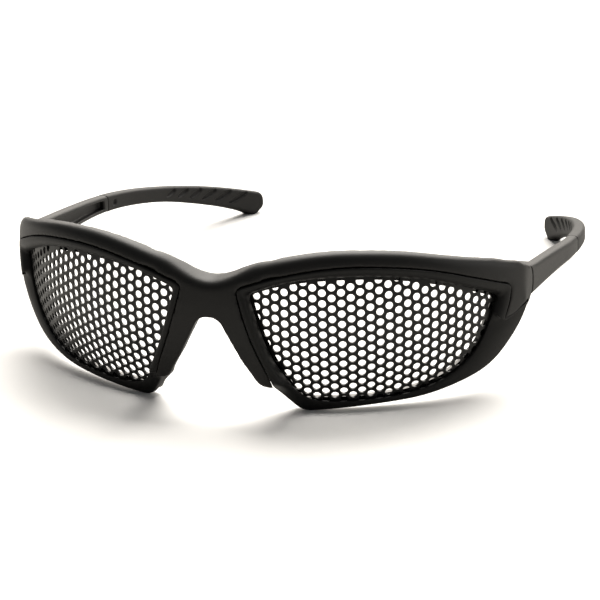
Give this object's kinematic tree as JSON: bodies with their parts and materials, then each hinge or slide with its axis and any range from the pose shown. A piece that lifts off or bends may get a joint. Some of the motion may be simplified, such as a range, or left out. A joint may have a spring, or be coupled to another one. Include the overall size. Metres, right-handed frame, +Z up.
{
  "type": "mesh safety goggles",
  "caption": "Wraparound safety goggles with perforated mesh lenses in clip-in rims, a brow bar with bridge and nose legs, and folding temples with rubber tips.",
  "frame": {"origin": "middle of the footprint, on the flat surface the goggles rest on", "axes": "+X to the wearer's left, -Y forward out of the lenses, +Y back along the temples, +Z up as the goggles rest on their rims and temple tips"},
  "size_m": [0.1384, 0.1508, 0.0433],
  "materials": {
    "frame_plastic": "matte black moulded plastic with a fine grain",
    "rim_plastic": "matte black moulded plastic, a little lighter on its bevels",
    "coated_mesh": "punched steel sheet with a black satin coat",
    "clamp_plastic": "smooth black plastic with a slight gloss",
    "temple_plastic": "matte black moulded plastic with a fine grain",
    "tip_rubber": "dull dark grey rubber",
    "screw_steel": "plain steel"
  },
  "bodies": {
    "front": {"brow_frame": "frame_plastic", "rim_left": "rim_plastic", "rim_right": "rim_plastic", "mesh_lens_left": "coated_mesh", "mesh_lens_right": "coated_mesh", "lens_clamp_left": "clamp_plastic", "lens_clamp_right": "clamp_plastic"},
    "left_temple": {"temple_arm_left": "temple_plastic", "temple_tip_left": "tip_rubber", "hinge_screw_left": "screw_steel"},
    "right_temple": {"temple_arm_right": "temple_plastic", "temple_tip_right": "tip_rubber", "hinge_screw_right": "screw_steel"}
  },
  "joints": [
    {"name": "left_temple_fold", "type": "hinge", "parent": "front", "child": "left_temple", "pos_m": [0.0653, -0.0241, 0.0255], "axis": [0, 0, 1], "range_deg": [0, 90]},
    {"name": "right_temple_fold", "type": "hinge", "parent": "front", "child": "right_temple", "pos_m": [-0.0653, -0.0241, 0.0255], "axis": [0, 0, -1], "range_deg": [0, 81]}
  ]
}
